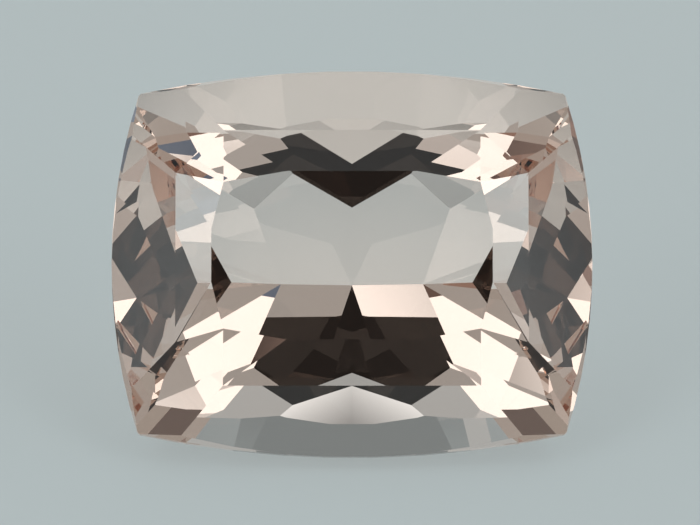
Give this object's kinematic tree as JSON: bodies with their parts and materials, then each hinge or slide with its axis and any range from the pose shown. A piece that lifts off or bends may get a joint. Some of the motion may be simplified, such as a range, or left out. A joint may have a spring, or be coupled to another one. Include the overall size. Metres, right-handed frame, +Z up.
{
  "type": "cushion-cut morganite gemstone",
  "caption": "Clear pale peach-pink morganite cut as a long cushion, faceted crown over a keeled pavilion, lying loose on one pavilion facet with its table turned forward.",
  "frame": {"origin": "bottom centre of the bounding box, on the surface the stone rests on", "axes": "+X along the stone's length, +Z up; the table looks up and towards -Y"},
  "size_m": [0.014, 0.0088, 0.0091],
  "materials": {
    "clear_beryl": "polished clear facets"
  },
  "bodies": {
    "root": {"gemstone": "clear_beryl"}
  },
  "joints": []
}
